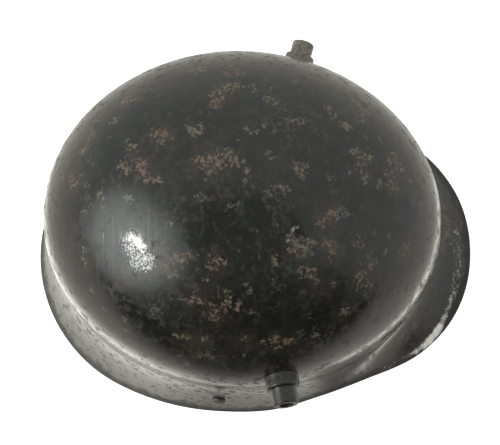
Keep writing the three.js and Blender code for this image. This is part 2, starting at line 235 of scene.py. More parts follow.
class HelmetSizes(bpy.types.PropertyGroup):
    """Sizes of the pressed steel shell"""

    skull_front: length_property("Skull front", "Length of the skull before its middle", 125.5)
    skull_rear: length_property("Skull rear", "Length of the skull behind its middle", 126.9)
    skull_half_width: length_property("Skull half width", "Half of the skull's width", 105.6)
    crown_height: length_property("Crown height", "Height of the crown above the ground", 171.8)
    dome_fullness: number_property(
        "Dome fullness", "2 is an ellipse, and more is fuller shoulders", 2.21)
    waist_front: length_property("Waist front", "Height at which the visor leaves the skull", 69.2)
    waist_side: length_property("Waist side", "Height at which the side skirt leaves the skull", 70.2)
    waist_rear: length_property("Waist rear", "Height at which the neck guard leaves the skull", 57.3)
    visor_reach: length_property("Visor reach", "How far the visor stands out from the skull", 34.2)
    ear_reach: length_property("Ear reach", "How far the side skirt stands out from the skull", 14.2)
    neck_reach: length_property("Neck reach", "How far the neck guard stands out from the skull", 25.4)
    visor_rise: length_property("Visor rise", "Height of the visor's edge above the ground", 39.6)
    skirt_curl: number_property("Skirt curl", "How late the skirt flares outwards", 1.7)
    sheet: length_property("Sheet", "Thickness of the steel", 1.15)
    roll_radius: length_property("Roll radius", "Radius of the edge, which is rolled inwards", 2.3)
    lip_height: length_property("Lip height", "Height of the lip that ends the rolled edge", 3.0)
    waviness: length_property("Waviness", "Depth of the pressed sheet's shallow unevenness", 0.22)
    dent_bearing: angle_property("Dent bearing", "Bearing of the small dent from the visor", -51.0)
    dent_share: number_property(
        "Dent share", "Place of the dent, from 0 at the crown to 1 at the waist", 0.244)
    dent_diameter: length_property("Dent diameter", "Width of the small dent", 9.0)
    dent_depth: length_property("Dent depth", "Depth of the small dent", 0.9)


class FittingSizes(bpy.types.PropertyGroup):
    """Sizes of the ventilation lugs and the strap rivets"""

    lug_bearing: angle_property("Lug bearing", "Bearing of each lug from the visor", 73.6)
    lug_share: number_property(
        "Lug share", "Place of each lug, from 0 at the crown to 1 at the waist", 0.829)
    lug_step_diameter: length_property("Lug step diameter", "Width of the lug's wide foot", 19.0)
    lug_step_height: length_property("Lug step height", "Height of the lug's wide foot", 6.5)
    lug_nozzle_diameter: length_property("Lug nozzle diameter", "Width of the lug's nozzle", 14.2)
    lug_reach: length_property("Lug reach", "How far the lug stands out from the sheet", 15.4)
    lug_bore: length_property("Lug bore", "Width of the air hole through the lug", 7.4)
    lug_inner_diameter: length_property(
        "Lug inner flange", "Width of the flange inside the sheet", 19.4)
    lug_inner_thickness: length_property(
        "Lug inner thickness", "Thickness of the flange inside the sheet", 1.6)
    rivet_bearing: angle_property("Rivet bearing", "Bearing of each strap rivet from the visor", 93.8)
    rivet_share: number_property(
        "Rivet share", "Place of each rivet, from 1 at the waist to 2 at the edge", 1.66)
    rivet_head_diameter: length_property("Rivet head diameter", "Width of the domed head", 8.8)
    rivet_head_height: length_property("Rivet head height", "Height of the domed head", 2.6)
    rivet_edge_height: length_property("Rivet edge height", "Height of the head's upright edge", 0.8)
    rivet_shank_diameter: length_property(
        "Rivet shank diameter", "Width of the shank through the sheet", 4.2)
    rivet_inner_diameter: length_property(
        "Rivet inner diameter", "Width of the washer inside the sheet", 7.6)
    rivet_inner_thickness: length_property(
        "Rivet inner thickness", "Thickness of the washer inside the sheet", 1.3)
    clearance: length_property("Clearance", "Room round each shank and under each seat", 0.3)
    seat_gap: length_property("Seat gap", "Hairline between a seat and the paint under it", 0.05)


class FinishColours(bpy.types.PropertyGroup):
    """Colours of the paint, its wear and the bare steel, which on the shell also makes painted highlights
    """

    paint: colour_property("Paint", "Dark olive-black paint", 0.008, 0.0088, 0.0070)
    faded_paint: colour_property("Faded paint", "Paint that has dulled", 0.018, 0.0185, 0.0150)
    inside_paint: colour_property("Inside paint", "Paint on the inside", 0.040, 0.038, 0.032)
    lug_paint: colour_property("Lug paint", "Brown-black paint on the lugs", 0.014, 0.013, 0.011)
    worn_lug: colour_property(
        "Worn lug", "Brown-grey of the lug that has lost its paint", 0.190, 0.165, 0.140)
    rust: colour_property("Rust", "Brown rust", 0.175, 0.112, 0.081)
    dark_rust: colour_property("Dark rust", "Old dark rust", 0.050, 0.034, 0.027)
    ochre: colour_property("Ochre", "Dry ochre undercoat", 0.148, 0.116, 0.070)
    pale: colour_property("Pale", "Scraped grey-white chips", 0.120, 0.117, 0.100)
    edge: colour_property("Edge", "Dull brown-olive dirt on the rolled edge", 0.030, 0.027, 0.020)
    # Bare steel: real rubbed steel on the fittings, and painted highlights on the shell
    steel_and_highlight: colour_property("Steel", "Bare worn steel", 0.92, 0.90, 0.84)
    floor: colour_property("Floor", "Plain pale floor", 0.9, 0.9, 0.9)


def choose_nothing():
    """Leaves edit mode and deselects every object."""
    if bpy.context.object and bpy.context.object.mode == "EDIT":
        bpy.ops.object.mode_set(mode="OBJECT")
    bpy.ops.object.select_all(action="DESELECT")


def choose(piece):
    choose_nothing()
    piece.select_set(True)
    bpy.context.view_layer.objects.active = piece


def finish_with(piece, kind, **settings):
    """Adds a modifier with these settings and applies it."""
    choose(piece)
    bpy.ops.object.modifier_add(type=kind)
    modifier = piece.modifiers[-1]
    for name, value in settings.items():
        setattr(modifier, name, value)
    bpy.ops.object.modifier_apply(modifier=modifier.name)


def delete_piece(piece):
    choose(piece)
    bpy.ops.object.delete()


# Shape of the shell

def bearing_of(point, middle):
    return math.atan2(point.x, middle - point.y)


def shell_middle(sizes):
    """Where the skull's middle lies, so that the helmet's box is centred on the origin."""
    return (sizes.skull_front + sizes.visor_reach - sizes.skull_rear - sizes.neck_reach) / 2


def rim_value(bearing, values):
    """A rim value at any bearing, on a smooth curve that runs level into a value of nothing."""
    folded = abs(math.degrees(math.atan2(math.sin(bearing), math.cos(bearing))))
    last = len(values) - 1
    row = min(int(folded / RIM_SPACING), last - 1)
    share = folded / RIM_SPACING - row
    before = values[abs(row - 1)]
    start = values[row]
    end = values[row + 1]
    after = values[last - 1 if row + 2 > last else row + 2]
    slope_start = 0.0 if start == 0 else (end - before) / 2
    slope_end = 0.0 if end == 0 else (after - start) / 2
    cube = share ** 3
    square = share ** 2
    return ((2 * cube - 3 * square + 1) * start + (cube - 2 * square + share) * slope_start
            + (3 * square - 2 * cube) * end + (cube - square) * slope_end)


class Section:
    """The shell's upright section at one bearing."""

    def __init__(self, sizes, bearing):
        reaches = [getattr(sizes, name) * share for name, share in RIM_REACH]
        rises = [sizes.visor_rise * share for share in RIM_RISE]
        length = sizes.skull_front if math.cos(bearing) > 0 else sizes.skull_rear
        end = sizes.waist_front if math.cos(bearing) > 0 else sizes.waist_rear
        self.sizes = sizes
        self.skull = 1 / math.hypot(math.sin(bearing) / sizes.skull_half_width,
                                    math.cos(bearing) / length)
        self.waist = sizes.waist_side + (end - sizes.waist_side) * math.cos(bearing) ** 2
        self.roll_out = self.skull + rim_value(bearing, reaches) - sizes.roll_radius
        self.roll_up = rim_value(bearing, rises) + sizes.roll_radius
        self.lean = 0.0
        for _ in range(SETTLING_PASSES):
            out = self.roll_out + sizes.roll_radius * math.cos(self.lean) - self.skull
            drop = self.waist - self.roll_up - sizes.roll_radius * math.sin(self.lean)
            self.lean = math.atan2(sizes.skirt_curl * out, drop)

    def skin(self, share):
        """Radius and height of the outer skin: 0 is the crown, 1 the waist, 2 the rolled edge."""
        sizes = self.sizes
        if share <= 1:
            angle = share * math.pi / 2
            power = 2 / sizes.dome_fullness
            return (self.skull * math.sin(angle) ** power,
                    self.waist + (sizes.crown_height - self.waist) * abs(math.cos(angle)) ** power)
        down = share - 1
        end_out, end_up = self.around_roll(self.lean)
        return (self.skull + (end_out - self.skull) * down ** sizes.skirt_curl,
                self.waist + (end_up - self.waist) * down)

    def around_roll(self, angle):
        radius = self.sizes.roll_radius
        return (self.roll_out + radius * math.cos(angle), self.roll_up + radius * math.sin(angle))

    def lip(self, share):
        """The lip inside the skirt, from the roll up to its free edge."""
        out, up = self.around_roll(self.lean - math.pi)
        rise = self.sizes.lip_height * share
        return (out - rise * math.sin(self.lean), up + rise * math.cos(self.lean))


class Sections:
    """The shell's sections by bearing, each worked out once, to a tenth of a degree."""

    def __init__(self, sizes):
        self.sizes = sizes
        self.known = {}

    def at(self, bearing):
        tenths = round(math.degrees(bearing) * 10)
        if tenths not in self.known:
            self.known[tenths] = Section(self.sizes, math.radians(tenths / 10))
        return self.known[tenths]


def on_bearing(bearing, section_point, middle):
    out, up = section_point
    return Vector((out * math.sin(bearing), middle - out * math.cos(bearing), up))


def skin_place(sizes, bearing, share):
    """The point of the outer skin and its outward normal."""
    middle = shell_middle(sizes)

    def point_at(at_bearing, at_share):
        return on_bearing(at_bearing, Section(sizes, at_bearing).skin(at_share), middle)

    down = point_at(bearing, min(share + NORMAL_STEP, 2)) - point_at(bearing, share - NORMAL_STEP)
    along = point_at(bearing + NORMAL_STEP, share) - point_at(bearing - NORMAL_STEP, share)
    return point_at(bearing, share), down.cross(along).normalized()


def seat_matrix(sizes, bearing, share):
    """Turns a fitting's +Z to the skin's normal and puts its foot on the skin."""
    point, normal = skin_place(sizes, bearing, share)
    turn = Vector((0, 0, 1)).rotation_difference(normal)
    return Matrix.LocRotScale(point, turn, None)


def shell_rings():
    """The shell's rings, from the crown down, round the rolled edge and up its lip."""
    rings = [lambda section, share=ring / DOME_RINGS: section.skin(share)
             for ring in range(1, DOME_RINGS + 1)]
    rings += [lambda section, share=1 + ring / SKIRT_RINGS: section.skin(share)
              for ring in range(1, SKIRT_RINGS + 1)]
    rings += [lambda section, turn=math.pi * ring / ROLL_RINGS:
              section.around_roll(section.lean - turn) for ring in range(1, ROLL_RINGS + 1)]
    rings += [lambda section, share=ring / LIP_RINGS: section.lip(share)
              for ring in range(1, LIP_RINGS + 1)]
    return rings


def put_chosen_points(piece, place):
    mesh = bmesh.from_edit_mesh(piece.data)
    for point in mesh.verts:
        if point.select:
            point.co = place(point.co)
    bmesh.update_edit_mesh(piece.data)


def choose_open_edges(piece):
    mesh = bmesh.from_edit_mesh(piece.data)
    for edge in mesh.edges:
        edge.select_set(len(edge.link_faces) < 2)
    mesh.select_flush_mode()
    bmesh.update_edit_mesh(piece.data)


def extrude_ring(piece, step, place):
    """Extrudes the chosen ring of edges once and puts its new points in their places."""
    bpy.ops.mesh.extrude_edges_move(TRANSFORM_OT_translate={"value": (0, 0, step)})
    put_chosen_points(piece, place)


def make_sheet(sizes):
    """The outer sheet as one open surface, extruded ring by ring from the crown."""
    middle = shell_middle(sizes)
    sections = Sections(sizes)

    def ring_place(ring):
        def place(point):
            bearing = bearing_of(point, middle)
            return on_bearing(bearing, ring(sections.at(bearing)), middle)
        return place

    rings = shell_rings()
    choose_nothing()
    bpy.ops.mesh.primitive_circle_add(
        vertices=SEGMENTS, radius=sizes.roll_radius, fill_type="TRIFAN",
        location=(0, middle, sizes.crown_height))
    sheet = bpy.context.object
    sheet.name = "helmet_shell"
    bpy.ops.object.transform_apply(location=True, rotation=True, scale=True)
    bpy.ops.object.mode_set(mode="EDIT")
    bpy.ops.mesh.select_mode(type="EDGE")
    choose_open_edges(sheet)
    put_chosen_points(sheet, ring_place(rings[0]))
    for ring in rings[1:]:
        extrude_ring(sheet, -sizes.sheet, ring_place(ring))
    bpy.ops.mesh.select_all(action="SELECT")
    bpy.ops.mesh.normals_make_consistent(inside=False)
    bpy.ops.object.mode_set(mode="OBJECT")
    return sheet


# The pressed sheet's unevenness: how many waves a metre has, and how much of the depth is theirs
SHEET_WAVES = ((26.0, 0.65), (62.0, 0.35))
# The unevenness starts this many roll radii above the ground and is full this much further up
WAVES_START_RADII = 3
WAVES_RISE = 20 * MM
# The dent's soft shoulder, as a share of its radius
DENT_SHOULDER = 1.25


def dent_sheet(sheet, sizes):
    """Presses the small dent and the shallow unevenness of a hand-finished pressing."""
    dent, dent_normal = skin_place(sizes, sizes.dent_bearing, sizes.dent_share)
    radius = sizes.dent_diameter / 2
    normals = [vertex.normal.copy() for vertex in sheet.data.vertices]
    for vertex, normal in zip(sheet.data.vertices, normals):
        wave = sum(noise.noise(vertex.co * waves) * part for waves, part in SHEET_WAVES)
        above_start = vertex.co.z - WAVES_START_RADII * sizes.roll_radius
        above_edge = min(1.0, max(0.0, above_start / WAVES_RISE))
        vertex.co += normal * wave * sizes.waviness * above_edge
        away = (vertex.co - dent).length / (radius * DENT_SHOULDER)
        if away < 1:
            vertex.co -= dent_normal * sizes.dent_depth * math.cos(away * math.pi / 2) ** 2


HOLE_SIDES = 48
LUG_HOLE_DEPTH = 9 * MM
RIVET_HOLE_DEPTH = 4 * MM


def cut_hole(piece, seat, diameter, depth):
    """Cuts a round hole along the axis of a seat."""
    choose_nothing()
    bpy.ops.mesh.primitive_cylinder_add(
        vertices=HOLE_SIDES, radius=diameter / 2, depth=2 * depth)
    cutter = bpy.context.object
    cutter.data.transform(seat)
    finish_with(piece, "BOOLEAN", object=cutter, operation="DIFFERENCE", solver="EXACT")
    delete_piece(cutter)


def surface_of(piece):
    """The piece's surface, for rays."""
    mesh = bmesh.new()
    mesh.from_mesh(piece.data)
    tree = BVHTree.FromBMesh(mesh)
    mesh.free()
    return tree


# Wear, painted where the photograph shows it

def pixel_ray(camera, across, down):
    """Start and direction of the camera's ray through a pixel of the photograph."""
    right, up = across - PHOTO_WIDTH / 2, PHOTO_HEIGHT / 2 - down
    turn = camera.matrix_world.to_quaternion()
    return camera.matrix_world.translation, turn @ Vector((right, up, -FOCAL_PIXELS)).normalized()


def pixel_on(surface, camera, across, down):
    """The point of the surface at a pixel, and what one pixel measures there."""
    point, _, _, distance = surface.ray_cast(*pixel_ray(camera, across, down))
    if point is None:
        raise RuntimeError(f"pixel {across}, {down} isn't on the shell")
    return point, distance / FOCAL_PIXELS


def scratch_on(surface, camera, row):
    """The inputs of the scratch group for one row of a list of scratches."""
    from_across, from_down, to_across, to_down, half_width = row
    start, _ = pixel_on(surface, camera, from_across, from_down)
    end, pixel = pixel_on(surface, camera, to_across, to_down)
    line = end - start
    _, normal, _, _ = surface.find_nearest(start)
    across = line.cross(normal).normalized()
    out = across.cross(line).normalized()
    if out.dot(normal) < 0:
        out.negate()
    along = line / line.length_squared
    return {"Along": along, "Across": across, "Out": out,
            "Start": (start.dot(along), start.dot(across), start.dot(out)),
            "Half_width": half_width * pixel}


def hidden_marks(sizes, camera, seed, count):
    """Marks where the photograph doesn't look, as its own are spread: places and radii."""
    dice = random.Random(seed)
    eye = camera.matrix_world.translation
    found = []
    while len(found) < count:
        bearing = dice.uniform(-math.pi, math.pi)
        share = dice.uniform(*HIDDEN_SHARES)
        point, normal = skin_place(sizes, bearing, share)
        if normal.dot((eye - point).normalized()) > HIDDEN_FACING:
            continue
        for _ in range(dice.randint(*CLUSTER_SIZES)):
            nudge = Vector((dice.gauss(0, 1), dice.gauss(0, 1), dice.gauss(0, 1)))
            radius = dice.uniform(*HIDDEN_RADII) * MM
            found.append((point + nudge * CLUSTER_SPREAD, radius))
    return found


class WearPainter:
    """How worn the shell is at each of its points, and where highlights are painted on it, kept by kind."""

    def __init__(self, mesh):
        self.mesh = mesh
        self.tree = KDTree(len(mesh.vertices))
        for vertex in mesh.vertices:
            self.tree.insert(vertex.co, vertex.index)
        self.tree.balance()
        self.wear = {name: [0.0] * len(mesh.vertices)
                     for names in PAINTED_LAYERS.values() for name in names}

    def dab(self, name, point, radius, peak=1.0):
        """Paints one round, soft mark."""
        values = self.wear[name]
        reach = DAB_REACH * radius
        for _, index, distance in self.tree.find_range(point, reach):
            values[index] = max(values[index], peak * (1 - (distance / reach) ** 2))

    def keep(self):
        """Writes the wear into the mesh's colour attributes. A channel with no wear is full."""
        for layer, names in PAINTED_LAYERS.items():
            attribute = self.mesh.color_attributes.new(
                name=layer, type="FLOAT_COLOR", domain="POINT")
            spare = [1.0] * (4 - len(names))
            for index, value in enumerate(attribute.data):
                value.color = [self.wear[name][index] for name in names] + spare


def paint_wear(shell, sizes, camera, surface):
    """Paints how worn each point is (rust, ochre, pale chips and films, and the edge) and the painted
    highlights: bare-steel streaks and the glare.
    """
    painter = WearPainter(shell.data)
    # Painted highlights of bare steel: on the visor's edge (partly real wear), in the glare and on the
    # dent's crescent
    for from_across, from_down, to_across, to_down, pixels, peak in BARE_AND_HIGHLIGHT_STREAKS:
        steps = math.ceil(math.hypot(to_across - from_across, to_down - from_down))
        for step in range(steps + 1):
            across = from_across + (to_across - from_across) * step / steps
            down = from_down + (to_down - from_down) * step / steps
            point, pixel = pixel_on(surface, camera, across, down)
            painter.dab("bare_and_highlight", point, pixels * pixel, peak)
    for name, marks in SEEN_MARKS.items():
        for across, down, pixels in marks:
            point, pixel = pixel_on(surface, camera, across, down)
            painter.dab(name, point, pixels * pixel)
    for name, (seed, count, widen) in HIDDEN_MARKS.items():
        for point, radius in hidden_marks(sizes, camera, seed, count):
            painter.dab(name, point, radius * widen)

    middle = shell_middle(sizes)
    sections = Sections(sizes)
    for vertex in shell.data.vertices:
        section = sections.at(bearing_of(vertex.co, middle))
        out = math.hypot(vertex.co.x, vertex.co.y - middle) - section.roll_out
        away = math.hypot(out, vertex.co.z - section.roll_up) - sizes.roll_radius
        dirt = min(1.0, max(0.0, 1 - away / EDGE_DIRT_WIDTH))
        painter.wear["edge"][vertex.index] = dirt
    painter.keep()


# Fittings

OUTSIDE = 1
INSIDE = -1
SIDES = (("left", 1), ("right", -1))
# How far from a seat its rays start
RAY_START = 12 * MM
FITTING_SMOOTH = math.radians(38)
SHELL_SMOOTH = math.radians(42)
LUG_SIDES = 64
RIVET_SIDES = 40
# The lug's mouth, in millimetres: out from the bore and down from the end
LUG_MOUTH = ((0.0, 1.1), (0.12, 0.35), (0.5, 0.0))
# The hollow between nozzle and foot, in millimetres: out from the nozzle and up from the foot
LUG_HOLLOW = ((0.0, 0.7), (0.15, 0.25), (0.6, 0.02))
LUG_NOZZLE_ROUNDING = 0.9 * MM
LUG_STEP_ROUNDING = 1.0 * MM
LUG_ROUNDING_STEPS = 5
LUG_FOOT_RINGS = (3.0 * MM, 1.4 * MM)
LUG_FOOT_SPLAY = 0.25 * MM
LUG_SEAT_ROUNDING = 0.8 * MM
LUG_RECESS = 0.35 * MM
LUG_FLANGE_TAPER = 0.2 * MM
LUG_FLANGE_SIDE = 0.5 * MM
LUG_BEVEL = 0.4 * MM
# The rivet's dome, in degrees above its edge, from the top down
RIVET_DOME = range(84, -1, -12)
RIVET_EDGE_FOOT = 0.35 * MM
RIVET_TUCK = 0.1 * MM
RIVET_SEAT_ROUNDING = 0.5 * MM
RIVET_RECESS = 0.3 * MM
RIVET_WASHER_TAPER = 0.15 * MM
RIVET_BEVEL = 0.3 * MM
# The last ring of the rivet, which a small face fills
RIVET_END_HOLE = 0.2 * MM
# The rivets' worn colour: so many parts of paint to one of steel, thinned to so many parts
RIVET_PAINT_PARTS = 3
RIVET_THINNED_PARTS = 9


class Seat:
    """Where a fitting sits on the shell, with the rays that find the sheet under it."""

    def __init__(self, sizes, bearing, share, surface, gap):
        self.matrix = seat_matrix(sizes, bearing, share)
        self.surface = surface
        self.gap = gap

    def height(self, across, up, side):
        """Height of the sheet along the seat's axis, on its outside (1) or its inside (-1)."""
        start = self.matrix @ Vector((across, up, side * RAY_START))
        direction = self.matrix.to_3x3() @ Vector((0, 0, -side))
        point, _, _, _ = self.surface.ray_cast(start, direction)
        if point is None:
            raise RuntimeError("a fitting's seat isn't on the shell")
        return (self.matrix.inverted() @ point).z + side * self.gap


def make_turned(name, rows, sides, seat, bored):
    """A piece turned about a seat's axis. A row is a radius with a height, or with the side of
    the sheet that it lies on. A bored piece's last row joins its first, and others are filled."""
    def row_place(row):
        radius, height = row

        def place(point):
            angle = math.atan2(point.y, point.x)
            across, up = radius * math.cos(angle), radius * math.sin(angle)
            lies_at = seat.height(across, up, height) if isinstance(height, int) else height
            return Vector((across, up, lies_at))
        return place

    choose_nothing()
    bpy.ops.mesh.primitive_circle_add(
        vertices=sides, radius=rows[0][0], fill_type="NOTHING" if bored else "TRIFAN")
    piece = bpy.context.object
    piece.name = name
    bpy.ops.object.mode_set(mode="EDIT")
    bpy.ops.mesh.select_mode(type="EDGE")
    if not bored:
        bpy.ops.mesh.select_all(action="SELECT")
        bpy.ops.transform.translate(value=(0, 0, rows[0][1]))
    choose_open_edges(piece)
    put_chosen_points(piece, row_place(rows[0]))
    for row in rows[1:]:
        extrude_ring(piece, -MM, row_place(row))
    if bored:
        choose_open_edges(piece)
        bpy.ops.mesh.bridge_edge_loops()
    else:
        bpy.ops.mesh.edge_face_add()
    bpy.ops.mesh.select_all(action="SELECT")
    bpy.ops.mesh.normals_make_consistent(inside=False)
    bpy.ops.object.mode_set(mode="OBJECT")
    piece.matrix_world = seat.matrix
    choose(piece)
    bpy.ops.object.transform_apply(location=True, rotation=True, scale=True)
    bpy.ops.object.shade_smooth_by_angle(angle=FITTING_SMOOTH)
    return piece


def quarter_turn(radius, height, rounding):
    """The rounded corner between a round piece's end and its side, from the end down."""
    angles = [math.pi / 2 * (1 - step / LUG_ROUNDING_STEPS)
              for step in range(LUG_ROUNDING_STEPS + 1)]
    return [(radius - rounding * (1 - math.cos(angle)), height - rounding * (1 - math.sin(angle)))
            for angle in angles]


def lug_rows(sizes, sheet):
    """The lug's profile, from the mouth of its bore, outside down to the sheet, and inside."""
    bore = sizes.lug_bore / 2
    nozzle = sizes.lug_nozzle_diameter / 2
    foot = sizes.lug_step_diameter / 2
    foot_top = sizes.lug_step_height
    flange = sizes.lug_inner_diameter / 2
    inner_end = -(sheet + sizes.lug_inner_thickness + sizes.clearance)
    rows = [(bore + out * MM, sizes.lug_reach - down * MM) for out, down in LUG_MOUTH]
    rows += quarter_turn(nozzle, sizes.lug_reach, LUG_NOZZLE_ROUNDING)
    rows += [(nozzle + out * MM, foot_top + up * MM) for out, up in LUG_HOLLOW]
    rows += quarter_turn(foot, foot_top, LUG_STEP_ROUNDING)
    rows += [(foot, height) for height in LUG_FOOT_RINGS]
    rows += [(foot + LUG_FOOT_SPLAY, OUTSIDE), (nozzle + LUG_SEAT_ROUNDING, OUTSIDE),
             (nozzle, -LUG_RECESS), (nozzle, -sheet), (nozzle + LUG_SEAT_ROUNDING, INSIDE),
             (flange - LUG_FLANGE_TAPER, INSIDE), (flange, inner_end + LUG_FLANGE_SIDE),
             (flange - LUG_BEVEL, inner_end), (bore + LUG_BEVEL, inner_end),
             (bore, inner_end + LUG_BEVEL)]
    return rows


def rivet_rows(sizes, sheet):
    """The rivet's profile, from the top of its head down through the sheet to its washer."""
    head = sizes.rivet_head_diameter / 2
    shank = sizes.rivet_shank_diameter / 2
    washer = sizes.rivet_inner_diameter / 2
    inner_end = -(sheet + sizes.rivet_inner_thickness + sizes.clearance)
    crown = sizes.rivet_head_height - sizes.rivet_edge_height
    rows = [(head * math.cos(math.radians(angle)),
             sizes.rivet_edge_height + crown * math.sin(math.radians(angle)))
            for angle in RIVET_DOME]
    rows += [(head, RIVET_EDGE_FOOT), (head - RIVET_TUCK, OUTSIDE),
             (shank + RIVET_SEAT_ROUNDING, OUTSIDE), (shank, -RIVET_RECESS), (shank, -sheet),
             (shank + RIVET_SEAT_ROUNDING, INSIDE), (washer - RIVET_WASHER_TAPER, INSIDE),
             (washer, inner_end + RIVET_EDGE_FOOT), (washer - RIVET_BEVEL, inner_end),
             (RIVET_END_HOLE, inner_end)]
    return rows


# Finishes

# Patches of wear, and of painted highlight (the glare's spatter and the bare steel): the scale of their
# flakes, how ragged they are, how much wear it takes to show one and how soft its edge is
PATCHES = {
    "rust": {"Scale": 520.0, "Break": 4.4, "Threshold": 0.92, "Softness": 0.26},
    "ochre": {"Scale": 520.0, "Break": 4.2, "Threshold": 0.90, "Softness": 0.28},
    "pale": {"Scale": 700.0, "Break": 3.4, "Threshold": 0.76, "Softness": 0.25},
    "painted_glare_spatter": {"Scale": 1050.0, "Break": 3.4, "Threshold": 0.84, "Softness": 0.3},
    "bare_and_highlight": {"Scale": 520.0, "Break": 1.5, "Threshold": 0.68, "Softness": 0.5},
    "inside_rust": {"Scale": 260.0, "Break": 1.2, "Threshold": 0.5, "Softness": 0.12},
    "lug_rust": {"Scale": 520.0, "Break": 1.2, "Threshold": 0.85, "Softness": 0.12},
    "rivet_rust": {"Scale": 520.0, "Break": 1.2, "Threshold": 0.55, "Softness": 0.12},
}
# How much of what is under it each kind of wear, or of painted highlight, hides
HIDES = {"film": 0.14, "rust": 0.9, "ochre": 0.8, "pale": 0.8, "flecks": 0.27, "hairlines": 0.10,
         "pale_scratches": 0.7, "dark_scratches": 0.8, "edge": 0.5, "pits": 0.5, "painted_glare_spatter": 0.36,
         "plain_rust": 0.85, "rubbed": 0.22}
# Noises: scale, detail and roughness
CLOUD = (16.0, 3.0, 0.55)
MOTTLE = (150.0, 4.0, 0.65)
GRAIN = (1100.0, 2.0, 0.6)
TINT = (420.0, 3.0, 0.6)
INSIDE_MOTTLE = (120.0, 4.0, 0.65)
INSIDE_CLOUD = (22.0, 3.0, 0.6)
FITTING_MOTTLE = (380.0, 4.0, 0.65)
FITTING_GRAIN = (1500.0, 3.0, 0.6)
FITTING_CLOUD = (140.0, 3.0, 0.6)
PEEL = (420.0, 3.0, 0.55)
BRUSH_WAVES = (90.0, 2.0, 0.5)
# Noises that rise from nothing to full: scale, detail, roughness, where they begin, are full
FILM_BREAKS = (230.0, 4.0, 0.7, 0.36, 0.6)
GATHERED = (34.0, 3.0, 0.6, 0.52, 0.72)
FLECKS = (420.0, 2.0, 0.55, 0.50, 0.62)
BLOTCHES = (170.0, 4.0, 0.65, 0.50, 0.62)
HAIRY_PLACES = (45.0, 3.0, 0.6, 0.48, 0.62)
PITS = (260.0, 2.0, 0.6, 0.54, 0.66)
PITTED_PLACES = (60.0, 3.0, 0.6, 0.38, 0.60)
# Where values of a noise begin to tell and where they tell in full
FADES = (0.38, 0.64)
PLAIN_FADES = (0.35, 0.65)
RUST_TINT = (0.38, 0.54)
OCHRE_TINT = (0.56, 0.70)
FLECK_TINT = (0.42, 0.56)
EDGE_SHOWS = (0.12, 1.0)
HAIR_CRESTS = (0.70, 0.76)
INSIDE_RUST_PLACES = (0.50, 0.70)
FITTING_RUST_PLACES = (0.45, 0.7)
LOST_PAINT = (0.36, 0.54)
RUBBED_GRAIN = (0.56, 0.70)
RUBBED_PLACES = (0.52, 0.34)
HAIRLINES = ({"Stretch": (0.05, 1.0, 1.0), "Turn": 0.25, "Scale": 620.0},
             {"Stretch": (1.0, 0.06, 1.0), "Turn": -0.6, "Scale": 560.0})
NOISE_MIDDLE = 0.5
MOTTLE_PART = 0.6
EDGE_MOTTLE = 0.9
DARK_SCRATCH_SHADE = 0.3
# The paint's roughness, and how much rougher each kind of wear makes it
PAINT_ROUGHNESS = 0.12
ROUGHER = {"faded": 0.06, "blotches": 0.24, "dull": 0.36, "pits": 0.2}
EDGE_ROUGHNESS = 0.75
CHIP_METAL = 0.2
RUBBED_METAL = 0.4
# How deep each kind of wear lies in the paint's relief, and how high the rust's grain stands
DULL_DEPTH = -0.5
CHIP_DEPTH = -0.4
RUST_DEPTH = -0.4
RUST_GRAIN = 0.5
FITTING_GRAIN_HEIGHT = 0.3
# How deep the pits are, and how much deeper in the glare
SHELL_PITS = 0.5
GLARE_PITS = 2.2
INSIDE_PITS = 0.8
FITTING_PITS = 1.0
# Relief of each finish: its strength and its depth
SHELL_RELIEF = (0.5, 0.12 * MM)
INSIDE_RELIEF = (0.7, 0.15 * MM)
FITTING_RELIEF = (0.7, 0.14 * MM)
# How dull the paint of the fittings is, and how much of it the ones on the wearer's left lost
LUG_SHINE = 0.16
RIVET_SHINE = 0.36
LEFT_LUG_WEAR = 0.9
LEFT_RIVET_WEAR = 0.0


def opaque(colour):
    return (*colour, 1.0)


